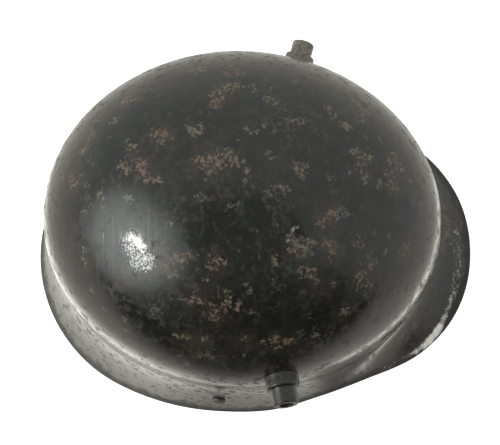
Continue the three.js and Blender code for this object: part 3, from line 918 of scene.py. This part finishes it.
class Nodes:
    """Makes nodes in one tree. What it is given are numbers, colours, or sockets to join."""

    def __init__(self, tree, place):
        self.tree = tree
        self.place = place

    def join(self, socket, target):
        self.tree.links.new(socket, target)

    def add(self, kind, inputs=None, **settings):
        """A node with its settings, and its inputs set to values or joined to sockets."""
        made = self.tree.nodes.new(kind)
        for name, value in settings.items():
            setattr(made, name, value)
        for name, value in (inputs or {}).items():
            if isinstance(value, bpy.types.NodeSocket):
                self.join(value, made.inputs[name])
            else:
                made.inputs[name].default_value = value
        return made

    def reckon(self, operation, first, second=0.0, third=0.0, clamp=False):
        made = self.add("ShaderNodeMath", {0: first, 1: second, 2: third},
                        operation=operation, use_clamp=clamp)
        return made.outputs[0]

    def less(self, first, second):
        return self.reckon("SUBTRACT", first, second)

    def times(self, first, second):
        return self.reckon("MULTIPLY", first, second)

    def times_plus(self, first, second, third):
        return self.reckon("MULTIPLY_ADD", first, second, third)

    def most(self, first, second):
        return self.reckon("MAXIMUM", first, second)

    def absolute(self, value):
        return self.reckon("ABSOLUTE", value)

    def vector(self, operation, *values):
        """Vector maths, which gives a number or a vector."""
        made = self.add("ShaderNodeVectorMath", dict(enumerate(values)), operation=operation)
        return made.outputs["Value" if operation in ("DOT_PRODUCT", "LENGTH") else "Vector"]

    def parts(self, vector):
        return self.add("ShaderNodeSeparateXYZ", {"Vector": vector}).outputs

    def ramp(self, value, low, high, low_out=0.0, high_out=1.0):
        """A smooth step from one value to another."""
        made = self.add("ShaderNodeMapRange",
                        {"Value": value, "From Min": low, "From Max": high,
                         "To Min": low_out, "To Max": high_out}, interpolation_type="SMOOTHSTEP")
        return made.outputs["Result"]

    def towards(self, way, direction, ends, full, low_out=0.0, high_out=1.0):
        """A smooth step round a direction, between the cosines at which it ends and is full."""
        cosine = self.vector("DOT_PRODUCT", way, Vector(direction).normalized())
        return self.ramp(cosine, ends, full, low_out, high_out)

    def blend(self, share, first, second):
        """Mixes two colours."""
        colours = [value if isinstance(value, bpy.types.NodeSocket) else opaque(value)
                   for value in (first, second)]
        made = self.add("ShaderNodeMix", {0: share, 6: colours[0], 7: colours[1]},
                        data_type="RGBA")
        return made.outputs[2]

    def cover(self, colour, mask, hides, over):
        """Lays a colour over another, where a mask shows it and as much as it hides."""
        return self.blend(self.times(mask, hides), colour, over)

    def noise(self, scale, detail, roughness, distortion=0.0, place=None):
        made = self.add("ShaderNodeTexNoise",
                        {"Vector": self.place if place is None else place, "Scale": scale, "Detail": detail,
                         "Roughness": roughness, "Distortion": distortion})
        return made.outputs["Fac"]

    def rising_noise(self, scale, detail, roughness, begins, full):
        return self.ramp(self.noise(scale, detail, roughness), begins, full)

    def group(self, name, **inputs):
        """Places a node group. An underscore in the name of an input stands for a space."""
        values = {label.replace("_", " "): value for label, value in inputs.items()}
        return self.add("ShaderNodeGroup", {"Vector": self.place, **values},
                        node_tree=bpy.data.node_groups[name]).outputs

    def patch(self, kind, amount):
        return self.group("broken_patch", Amount=amount, **PATCHES[kind])["Mask"]

    def seen_by_camera(self):
        return self.add("ShaderNodeLightPath").outputs["Is Camera Ray"]


def new_group(name, inputs, outputs):
    """A shader node group: its nodes, the sockets it is given and its output node. An input with
    a number starts from it, and the others are vectors."""
    tree = bpy.data.node_groups.new(name, "ShaderNodeTree")
    for label, value in inputs.items():
        kind = "NodeSocketFloat" if isinstance(value, float) else "NodeSocketVector"
        socket = tree.interface.new_socket(name=label, in_out="INPUT", socket_type=kind)
        if value is not None:
            socket.default_value = value
    for label in outputs:
        tree.interface.new_socket(name=label, in_out="OUTPUT", socket_type="NodeSocketFloat")
    given = tree.nodes.new("NodeGroupInput").outputs
    return Nodes(tree, given["Vector"]), given, tree.nodes.new("NodeGroupOutput").inputs


def broken_patch_group():
    """Turns a smooth painted amount into a patch with a broken, flaked edge."""
    nodes, given, result = new_group(
        "broken_patch", {"Vector": None, "Amount": 0.0, "Scale": 300.0, "Break": 0.9,
                         "Threshold": 0.5, "Softness": 0.06}, ("Mask",))
    finer = 3.1
    fine_part = 0.35
    middle = (1 + fine_part) * NOISE_MIDDLE
    painted_from, painted_full = 0.01, 0.12
    coarse = nodes.noise(given["Scale"], detail=2.0, roughness=0.55)
    fine = nodes.noise(nodes.times(given["Scale"], finer), detail=2.0, roughness=0.6)
    rough = nodes.times_plus(fine, fine_part, nodes.less(coarse, middle))
    broken = nodes.times_plus(rough, given["Break"], given["Amount"])
    begins = nodes.less(given["Threshold"], given["Softness"])
    full = nodes.reckon("ADD", given["Threshold"], given["Softness"])
    mask = nodes.ramp(broken, begins, full)
    painted = nodes.ramp(given["Amount"], painted_from, painted_full)
    nodes.join(nodes.times(mask, painted), result["Mask"])


def scratch_group():
    """One straight scratch, thinning towards both ends. The three directions each come with
    their value at its start: along it (in its lengths), across it and out of the sheet."""
    nodes, given, result = new_group(
        "scratch", {"Vector": None, "Along": None, "Across": None, "Out": None, "Start": None,
                    "Half width": 0.0005}, ("Mask",))
    half_length, thins_from, inside_ends = 0.5, 0.3, 0.49
    sharp_part = 0.35
    sheet_reach = -10 * MM
    start = nodes.parts(given["Start"])

    def measured(label, axis):
        return nodes.less(nodes.vector("DOT_PRODUCT", given["Vector"], given[label]), start[axis])

    from_middle = nodes.absolute(nodes.less(measured("Along", "X"), half_length))
    width = nodes.times(given["Half width"], nodes.ramp(from_middle, half_length, thins_from))
    line = nodes.ramp(nodes.absolute(measured("Across", "Y")), width, nodes.times(width, sharp_part))
    on_this_side = nodes.reckon("GREATER_THAN", measured("Out", "Z"), sheet_reach)
    between_ends = nodes.reckon("LESS_THAN", from_middle, inside_ends)
    nodes.join(nodes.times(line, nodes.times(on_this_side, between_ends)), result["Mask"])


def hairline_group():
    """Many fine hairline scratches, all over."""
    nodes, given, result = new_group(
        "hairlines", {"Vector": None, "Stretch": (1.0, 0.05, 1.0), "Turn": 0.0, "Scale": 500.0},
        ("Mask",))
    turned = nodes.add("ShaderNodeVectorRotate", {"Vector": given["Vector"], "Angle": given["Turn"]},
                       rotation_type="Z_AXIS").outputs["Vector"]
    stretched = nodes.vector("MULTIPLY", turned, given["Stretch"])
    lines = nodes.noise(given["Scale"], detail=2.0, roughness=0.5, distortion=0.25,
                        place=stretched)
    places = nodes.rising_noise(*HAIRY_PLACES)
    nodes.join(nodes.times(nodes.ramp(lines, *HAIR_CRESTS), places), result["Mask"])


def pitted_group():
    """Height of old painted steel: brush waves, orange peel and small pits."""
    nodes, given, result = new_group(
        "pitted", {"Vector": None, "Pits": 0.5}, ("Height", "Pit"))
    wave_height, peel_height, pit_depth = 0.9, 0.35, -0.8
    peel = nodes.noise(*PEEL)
    waves = nodes.noise(*BRUSH_WAVES)
    pit = nodes.times(nodes.rising_noise(*PITS), nodes.rising_noise(*PITTED_PLACES))
    smooth = nodes.times_plus(waves, wave_height, nodes.times(peel, peel_height))
    height = nodes.times_plus(nodes.times(pit, given["Pits"]), pit_depth, smooth)
    nodes.join(height, result["Height"])
    nodes.join(pit, result["Pit"])


def new_material(name):
    """A material with its nodes, on the object's coordinates, and its shader."""
    material = bpy.data.materials.new(name)
    material.use_nodes = True
    tree = material.node_tree
    place = tree.nodes.new("ShaderNodeTexCoord").outputs["Object"]
    return material, Nodes(tree, place), tree.nodes["Principled BSDF"]


def put_finish(nodes, shader, colour, roughness, height, relief):
    """Joins a colour, a roughness and a relief to a shader."""
    nodes.join(colour, shader.inputs["Base Color"])
    nodes.join(roughness, shader.inputs["Roughness"])
    strength, depth = relief
    bump = nodes.add("ShaderNodeBump", {"Height": height, "Strength": strength, "Distance": depth})
    nodes.join(bump.outputs["Normal"], shader.inputs["Normal"])


def painted_layer(nodes, layer):
    """A painted layer's colours, each by itself, and its alpha."""
    painted = nodes.add("ShaderNodeAttribute", attribute_name=layer).outputs
    colours = nodes.add("ShaderNodeSeparateColor", {"Color": painted["Color"]}).outputs
    return colours, painted["Alpha"]


class ShellPaint:
    """Worn dark paint, laid coat by coat. Each step takes the colour so far and gives the next."""

    def __init__(self, colours):
        self.colours = colours
        self.material, self.nodes, self.shader = new_material("shell_paint")
        self.wear, self.bare_and_highlight_amount = painted_layer(self.nodes, "wear")
        self.dirt, _ = painted_layer(self.nodes, "dirt")

    def coat(self):
        """Dark paint, faded in clouds, under broad brown films."""
        nodes, colours = self.nodes, self.colours
        cloud = nodes.noise(*CLOUD)
        self.mottle = nodes.noise(*MOTTLE)
        self.grain = nodes.noise(*GRAIN)
        clouded = nodes.times_plus(self.mottle, MOTTLE_PART, nodes.times(cloud, 1 - MOTTLE_PART))
        self.fade = nodes.ramp(clouded, *FADES)
        colour = nodes.blend(self.fade, colours.paint, colours.faded_paint)
        film = nodes.times(self.dirt["Red"], nodes.rising_noise(*FILM_BREAKS))
        return nodes.cover(colour, film, HIDES["film"], colours.rust)

    def patches(self, colour):
        """Rust, ochre undercoat and pale chips, where they are painted."""
        nodes, colours = self.nodes, self.colours
        self.rust = nodes.patch("rust", self.wear["Red"])
        self.tint = nodes.noise(*TINT)
        rusty = nodes.blend(nodes.ramp(self.tint, *RUST_TINT), colours.dark_rust, colours.rust)
        rusty = nodes.blend(nodes.ramp(self.tint, *OCHRE_TINT), rusty, colours.ochre)
        colour = nodes.cover(colour, self.rust, HIDES["rust"], rusty)
        self.ochre = nodes.patch("ochre", self.wear["Green"])
        colour = nodes.cover(colour, self.ochre, HIDES["ochre"], colours.ochre)
        self.pale = nodes.patch("pale", self.wear["Blue"])
        return nodes.cover(colour, self.pale, HIDES["pale"], colours.pale)

    def flecks(self, colour):
        """Small flecks and fine hairlines, all over."""
        nodes, colours = self.nodes, self.colours
        gathered = nodes.rising_noise(*GATHERED)
        flecks = nodes.times(nodes.rising_noise(*FLECKS), gathered)
        fleck_colour = nodes.blend(nodes.ramp(self.tint, *FLECK_TINT), colours.rust, colours.pale)
        colour = nodes.cover(colour, flecks, HIDES["flecks"], fleck_colour)
        hairs, more_hairs = [nodes.group("hairlines", **row)["Mask"] for row in HAIRLINES]
        both = nodes.reckon("ADD", hairs, more_hairs, clamp=True)
        return nodes.cover(colour, both, HIDES["hairlines"], colours.pale)

    def scratches(self, colour, scratches):
        """The scratches of the photograph, pale ones and dark ones."""
        nodes, colours = self.nodes, self.colours
        self.scratched = {}
        for kind, lines in scratches.items():
            total = 0.0
            for line in lines:
                total = nodes.most(total, nodes.group("scratch", **line)["Mask"])
            self.scratched[kind] = total
        dark = [value * DARK_SCRATCH_SHADE for value in colours.paint]
        colour = nodes.cover(
            colour, self.scratched["pale"], HIDES["pale_scratches"], colours.pale)
        return nodes.cover(colour, self.scratched["dark"], HIDES["dark_scratches"], dark)

    def dirt_steel_and_highlights(self, colour):
        """Dirt on the rolled edge, pits, and bright bare steel where it is painted: painted highlights on
        the visor's edge, in the glare and on the dent, partly real worn steel.
        """
        nodes, colours = self.nodes, self.colours
        mottled = nodes.times_plus(nodes.less(self.mottle, NOISE_MIDDLE), EDGE_MOTTLE, self.dirt["Blue"])
        self.edge = nodes.ramp(mottled, *EDGE_SHOWS)
        colour = nodes.cover(colour, self.edge, HIDES["edge"], colours.edge)
        # The dirt's green is the painted glare behind the crown: deeper pits there, and a spatter of bright
        # bare steel as its painted highlight
        pit_depth = nodes.times_plus(self.dirt["Green"], GLARE_PITS, SHELL_PITS)
        self.pits = nodes.group("pitted", Pits=pit_depth)
        colour = nodes.cover(colour, self.pits["Pit"], HIDES["pits"], colours.dark_rust)
        painted_glare_spatter = nodes.patch("painted_glare_spatter", self.dirt["Green"])
        bare_and_highlight = nodes.patch("bare_and_highlight", self.bare_and_highlight_amount)
        self.bare_and_highlight = nodes.most(bare_and_highlight, nodes.times(painted_glare_spatter, HIDES["painted_glare_spatter"]))
        return nodes.blend(self.bare_and_highlight, colour, colours.steel_and_highlight)

    def finish(self, colour):
        """Gloss, metal and relief, each changed by the wear, and metal also by the painted highlights."""
        nodes = self.nodes
        dull = nodes.most(self.rust, nodes.most(self.ochre, self.edge))
        masks = {"faded": self.fade, "blotches": nodes.rising_noise(*BLOTCHES), "dull": dull,
                 "pits": self.pits["Pit"]}
        roughness = PAINT_ROUGHNESS
        for name, mask in masks.items():
            roughness = nodes.times_plus(mask, ROUGHER[name], roughness)
        roughness = nodes.most(roughness, nodes.times(self.edge, EDGE_ROUGHNESS))
        chips = nodes.times(nodes.most(self.pale, self.scratched["pale"]), CHIP_METAL)
        nodes.join(nodes.most(chips, self.bare_and_highlight), self.shader.inputs["Metallic"])
        height = nodes.times_plus(dull, DULL_DEPTH, self.pits["Height"])
        cut = nodes.most(self.pale, self.scratched["dark"])
        height = nodes.times_plus(cut, CHIP_DEPTH, height)
        height = nodes.times_plus(nodes.times(self.grain, dull), RUST_GRAIN, height)
        put_finish(nodes, self.shader, colour, roughness, height, SHELL_RELIEF)


def shell_paint(colours, scratches):
    """Worn dark paint: films, rust, ochre undercoat, pale chips, scratches and the dull edge, with painted
    highlights of bright bare steel.
    """
    paint = ShellPaint(colours)
    colour = paint.flecks(paint.patches(paint.coat()))
    paint.finish(paint.dirt_steel_and_highlights(paint.scratches(colour, scratches)))
    return paint.material


def inside_paint(colours):
    """The dull paint inside the shell, with rust freckles."""
    rust_rougher, roughness = 0.2, 0.6
    material, nodes, shader = new_material("inside_paint")
    mottle = nodes.noise(*INSIDE_MOTTLE)
    cloud = nodes.noise(*INSIDE_CLOUD)
    rust = nodes.patch("inside_rust", nodes.ramp(cloud, *INSIDE_RUST_PLACES))
    colour = nodes.blend(nodes.ramp(mottle, *PLAIN_FADES), colours.inside_paint,
                         colours.faded_paint)
    rusty = nodes.blend(mottle, colours.dark_rust, colours.rust)
    colour = nodes.cover(colour, rust, HIDES["plain_rust"], rusty)
    pits = nodes.group("pitted", Pits=INSIDE_PITS)
    height = nodes.times_plus(rust, RUST_DEPTH, pits["Height"])
    put_finish(nodes, shader, colour, nodes.times_plus(rust, rust_rougher, roughness), height,
               INSIDE_RELIEF)
    return material


def fitting_finish(name, rust_patch, base, worn, colours, shine, left_wear):
    """Paint or steel of the fittings, rubbed on the corners and rusty in the hollows, and how
    much of the paint is lost on the wearer's left."""
    least_lost = 0.45 * left_wear
    mottle_rougher, rust_rougher = 0.2, 0.25
    material, nodes, shader = new_material(name)
    mottle = nodes.noise(*FITTING_MOTTLE)
    grain = nodes.noise(*FITTING_GRAIN)
    cloud = nodes.noise(*FITTING_CLOUD)
    colour = nodes.blend(nodes.ramp(mottle, *PLAIN_FADES), base, worn)
    on_left = nodes.reckon("GREATER_THAN", nodes.parts(nodes.place)["X"], 0.0)
    lost = nodes.times(on_left, nodes.ramp(mottle, *LOST_PAINT, least_lost, left_wear))
    colour = nodes.blend(lost, colour, colours.worn_lug)
    rust = nodes.patch(rust_patch, nodes.ramp(cloud, *FITTING_RUST_PLACES))
    rusty = nodes.blend(mottle, colours.dark_rust, colours.rust)
    colour = nodes.cover(colour, rust, HIDES["plain_rust"], rusty)
    rubbed = nodes.times(nodes.ramp(grain, *RUBBED_GRAIN), nodes.ramp(cloud, *RUBBED_PLACES))
    colour = nodes.cover(colour, rubbed, HIDES["rubbed"], colours.steel_and_highlight)
    mottled = nodes.times_plus(mottle, mottle_rougher, shine)
    roughness = nodes.times_plus(rust, rust_rougher, mottled)
    nodes.join(nodes.times(rubbed, RUBBED_METAL), shader.inputs["Metallic"])
    pits = nodes.group("pitted", Pits=FITTING_PITS)
    height = nodes.times_plus(grain, FITTING_GRAIN_HEIGHT, pits["Height"])
    put_finish(nodes, shader, colour, roughness, height, FITTING_RELIEF)
    return material


# Studio: a pale tent round the helmet, open and dark on the photographer's side

FLOOR_WIDTH = 8.0
FLOOR_GLOW = 0.85
FLOOR_ROUGHNESS = 0.9
FLOOR_GLOSS = 0.1
FLOOR_PALE = 0.85
FLOOR_DARK = 0.08
FLOOR_PALE_FROM = -0.08
FLOOR_DARK_FROM = -0.26
FLOOR_SPREAD = 0.5
# Half of the rim's width and length: distances on the floor are lengths of these
RIM_HALVES = (0.12, 0.156, 1.0)
# The floor's brightest parts and one darker part, close by the rim. A row is the direction from
# the middle, the light added, the cosines of the angles from that direction at which it ends and
# is full, and the rim lengths from the middle at which it begins, is first full, is last full
# and ends.
FLOOR_GLOWS = [
    ((-0.4, 0.92, 0.0), 1.15, 0.5, 0.95, 0.0, 0.5, 1.15, 1.55),
    ((-0.5, -0.86, 0.0), 1.7, 0.87, 0.97, 1.23, 1.29, 1.32, 1.44),
    ((-0.68, -0.73, 0.0), -0.6, 0.925, 0.98, 0.0, 0.5, 1.18, 1.25),
    ((0.05, -1.0, 0.0), 0.8, 0.90, 0.97, 1.25, 1.33, 1.45, 1.6),
]
PLAIN_WHITE = (1.0, 1.0, 1.0)
WARM_WHITE = (1.0, 0.965, 0.885)
COOL_WHITE = (0.955, 0.985, 0.975)
TENT_PALE = 0.86
# Dark places of the tent: direction, share of the light that they take, and the cosines of the
# angles from that direction at which they end and are full
DARK_PLACES = [
    ((-0.97, -0.21, 0.09), 0.92, 0.45, 0.92),
    ((-0.31, 0.0, 0.95), 0.62, 0.80, 0.97),
]
# The big soft light behind the helmet: its direction, the cosines of the angles from there at
# which it ends and is full, and how much light it adds
GLOW_DIRECTION = (-0.36, 0.79, 0.48)
GLOW_ENDS = 0.84
GLOW_FULL = 0.985
GLOW_STRENGTH = 3.1
# The small softbox in front of it: where it points from and to, how far away it is, its width
# and its power in watts
SOFTBOX_DIRECTION = Vector((-0.34, 0.76, 0.54)).normalized()
SOFTBOX_TARGET = Vector((-0.04, 0.057, 0.156))
SOFTBOX_DISTANCE = 1.5
SOFTBOX_WIDTH = 0.12
SOFTBOX_POWER = 3.0


def floor_finish(colours):
    """A plain pale floor. What it throws on the helmet fades towards the photographer's side."""
    material, nodes, shader = new_material("pale_floor")
    plain = {"Base Color": opaque(colours.floor), "Emission Color": opaque(colours.floor),
             "Emission Strength": FLOOR_GLOW, "Roughness": FLOOR_ROUGHNESS,
             "Specular IOR Level": FLOOR_GLOSS}
    for name, value in plain.items():
        shader.inputs[name].default_value = value
    spot = nodes.parts(nodes.place)
    reach = nodes.times_plus(nodes.absolute(spot["Y"]), FLOOR_SPREAD, spot["X"])
    thrown = nodes.ramp(reach, FLOOR_DARK_FROM, FLOOR_PALE_FROM, FLOOR_DARK, FLOOR_PALE)
    rim_lengths = nodes.vector("LENGTH", nodes.vector("DIVIDE", nodes.place, RIM_HALVES))
    way = nodes.vector("NORMALIZE", nodes.place)
    for direction, strength, ends, full, begins, first_full, last_full, last in FLOOR_GLOWS:
        glow = nodes.towards(way, direction, ends, full, 0.0, strength)
        band = nodes.times(nodes.ramp(rim_lengths, begins, first_full),
                           nodes.ramp(rim_lengths, last, last_full))
        thrown = nodes.reckon("ADD", thrown, nodes.times(glow, band))
    card = nodes.add("ShaderNodeEmission", {"Color": opaque(WARM_WHITE), "Strength": thrown})
    mixed = nodes.add("ShaderNodeMixShader", {0: nodes.seen_by_camera(), 1: card.outputs[0],
                                              2: shader.outputs[0]})
    nodes.join(mixed.outputs[0], nodes.tree.nodes["Material Output"].inputs["Surface"])
    return material


def make_camera():
    bpy.ops.object.camera_add(location=CAMERA_PLACE)
    camera = bpy.context.object
    camera.name = "photo_camera"
    aim = (CAMERA_TARGET - CAMERA_PLACE).to_track_quat("-Z", "Y")
    camera.rotation_mode = "QUATERNION"
    camera.rotation_quaternion = aim @ Quaternion((0, 0, 1), CAMERA_ROLL)
    camera.data.sensor_width = SENSOR_WIDTH
    camera.data.lens = FOCAL_PIXELS * SENSOR_WIDTH / PHOTO_WIDTH
    camera.data.clip_start = NEAREST_SEEN
    bpy.context.scene.camera = camera
    bpy.context.view_layer.update()
    return camera


def make_softbox():
    bpy.ops.object.light_add(
        type="AREA", location=SOFTBOX_TARGET + SOFTBOX_DIRECTION * SOFTBOX_DISTANCE)
    lamp = bpy.context.object
    lamp.name = "softbox_rear"
    lamp.rotation_mode = "QUATERNION"
    lamp.rotation_quaternion = (-SOFTBOX_DIRECTION).to_track_quat("-Z", "Y")
    lamp.data.shape = "SQUARE"
    lamp.data.size = SOFTBOX_WIDTH
    lamp.data.energy = SOFTBOX_POWER


def make_world():
    """The pale tent, with its dark places. The camera sees plain white."""
    world = bpy.data.worlds.new("studio")
    bpy.context.scene.world = world
    world.use_nodes = True
    tree = world.node_tree
    nodes = Nodes(tree, tree.nodes.new("ShaderNodeTexCoord").outputs["Generated"])
    light = TENT_PALE
    for direction, share, ends, full in DARK_PLACES:
        left = nodes.towards(nodes.place, direction, ends, full, 1.0, 1.0 - share)
        light = nodes.times(left, light)
    glow = nodes.towards(nodes.place, GLOW_DIRECTION, GLOW_ENDS, GLOW_FULL, 0.0, GLOW_STRENGTH)
    light = nodes.reckon("ADD", light, glow)
    seen = nodes.seen_by_camera()
    background = tree.nodes["Background"].inputs
    nodes.join(nodes.most(light, seen), background["Strength"])
    nodes.join(nodes.blend(seen, COOL_WHITE, PLAIN_WHITE), background["Color"])


def settings_of(scene):
    return scene.helmet_sizes, scene.helmet_fittings, scene.helmet_colours


class HELMET_OT_stage(bpy.types.Operator):
    """Sets up the camera, the plain floor, the light and the pale surroundings"""

    bl_idname = "helmet.stage"
    bl_label = "Build studio"

    def execute(self, context):
        choose_nothing()
        make_camera()
        bpy.ops.mesh.primitive_plane_add(size=FLOOR_WIDTH)
        floor = context.object
        floor.name = "studio_floor"
        floor.data.materials.append(floor_finish(context.scene.helmet_colours))
        make_softbox()
        make_world()
        context.scene.view_settings.view_transform = "Standard"
        return {"FINISHED"}


class HELMET_OT_shell(bpy.types.Operator):
    """Builds the pressed shell with its rolled edge, its holes and its worn paint"""

    bl_idname = "helmet.shell"
    bl_label = "Build shell"

    def execute(self, context):
        sizes, fittings, colours = settings_of(context.scene)
        camera = context.scene.camera
        shell = make_sheet(sizes)
        finish_with(shell, "SUBSURF", levels=1, render_levels=1)
        dent_sheet(shell, sizes)
        outer_surface = surface_of(shell)
        scratches = {kind: [scratch_on(outer_surface, camera, row) for row in rows]
                     for kind, rows in (("pale", PALE_SCRATCHES), ("dark", DARK_SCRATCHES))}
        shell.data.materials.append(shell_paint(colours, scratches))
        shell.data.materials.append(inside_paint(colours))
        finish_with(shell, "SOLIDIFY", thickness=sizes.sheet, offset=-1.0, use_even_offset=True,
                    use_quality_normals=True, material_offset=1)
        for _, side in SIDES:
            lug = seat_matrix(sizes, side * fittings.lug_bearing, fittings.lug_share)
            lug_hole = fittings.lug_nozzle_diameter + 2 * fittings.clearance
            cut_hole(shell, lug, lug_hole, LUG_HOLE_DEPTH)
            rivet = seat_matrix(sizes, side * fittings.rivet_bearing, fittings.rivet_share)
            rivet_hole = fittings.rivet_shank_diameter + 2 * fittings.clearance
            cut_hole(shell, rivet, rivet_hole, RIVET_HOLE_DEPTH)
        paint_wear(shell, sizes, camera, outer_surface)
        choose(shell)
        bpy.ops.object.shade_smooth_by_angle(angle=SHELL_SMOOTH)
        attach(shell, "root")
        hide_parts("shell")
        return {"FINISHED"}


class HELMET_OT_vent_lugs(bpy.types.Operator):
    """Builds the two stepped ventilation lugs, seated on the sheet"""

    bl_idname = "helmet.vent_lugs"
    bl_label = "Build ventilation lugs"

    def execute(self, context):
        sizes, fittings, colours = settings_of(context.scene)
        surface = surface_of(bpy.data.objects["helmet_shell"])
        finish = fitting_finish("lug_paint", "lug_rust", colours.lug_paint, colours.faded_paint,
                                colours, LUG_SHINE, LEFT_LUG_WEAR)
        for name, side in SIDES:
            seat = Seat(sizes, side * fittings.lug_bearing, fittings.lug_share, surface,
                        fittings.seat_gap)
            lug = make_turned(f"helmet_lug_{name}", lug_rows(fittings, sizes.sheet), LUG_SIDES,
                              seat, True)
            lug.data.materials.append(finish)
            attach(lug, "root")
            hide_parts(f"vent_lug_{name}")
        return {"FINISHED"}


class HELMET_OT_strap_rivets(bpy.types.Operator):
    """Builds the two domed strap rivets in the side skirts"""

    bl_idname = "helmet.strap_rivets"
    bl_label = "Build strap rivets"

    def execute(self, context):
        sizes, fittings, colours = settings_of(context.scene)
        surface = surface_of(bpy.data.objects["helmet_shell"])
        worn = [(RIVET_PAINT_PARTS * paint + steel_and_highlight) / RIVET_THINNED_PARTS
                for paint, steel_and_highlight in zip(colours.faded_paint, colours.steel_and_highlight)]
        finish = fitting_finish("rivet_steel", "rivet_rust", colours.faded_paint, worn, colours,
                                RIVET_SHINE, LEFT_RIVET_WEAR)
        for name, side in SIDES:
            seat = Seat(sizes, side * fittings.rivet_bearing, fittings.rivet_share, surface,
                        fittings.seat_gap)
            rivet = make_turned(f"helmet_rivet_{name}", rivet_rows(fittings, sizes.sheet),
                                RIVET_SIDES, seat, False)
            rivet.data.materials.append(finish)
            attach(rivet, "root")
            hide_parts(f"strap_rivet_{name}")
        return {"FINISHED"}


class HELMET_PT_panel(bpy.types.Panel):
    """Lists the helmet's sizes, colours and pieces"""

    bl_idname = "HELMET_PT_panel"
    bl_label = "Trench helmet"
    bl_space_type = "VIEW_3D"
    bl_region_type = "UI"
    bl_category = "Helmet"

    def draw(self, context):
        layout = self.layout
        for operator in OPERATORS:
            layout.operator(operator.bl_idname)
        for group in settings_of(context.scene):
            box = layout.box()
            for name in group.__annotations__:
                box.prop(group, name)


GROUPS = {"helmet_sizes": HelmetSizes, "helmet_fittings": FittingSizes,
          "helmet_colours": FinishColours}
OPERATORS = (HELMET_OT_stage, HELMET_OT_shell, HELMET_OT_vent_lugs, HELMET_OT_strap_rivets)


def register():
    for kind in (*GROUPS.values(), *OPERATORS, HELMET_PT_panel):
        bpy.utils.register_class(kind)
    for name, group in GROUPS.items():
        setattr(bpy.types.Scene, name, bpy.props.PointerProperty(type=group))


def unregister():
    for name in GROUPS:
        delattr(bpy.types.Scene, name)
    for kind in (HELMET_PT_panel, *reversed(OPERATORS), *GROUPS.values()):
        bpy.utils.unregister_class(kind)


def main():
    register()
    for make_group in (broken_patch_group, scratch_group, hairline_group, pitted_group):
        make_group()
    bpy.ops.helmet.stage()
    bpy.ops.helmet.shell()
    bpy.ops.helmet.vent_lugs()
    bpy.ops.helmet.strap_rivets()


if __name__ == "__main__":
    main()
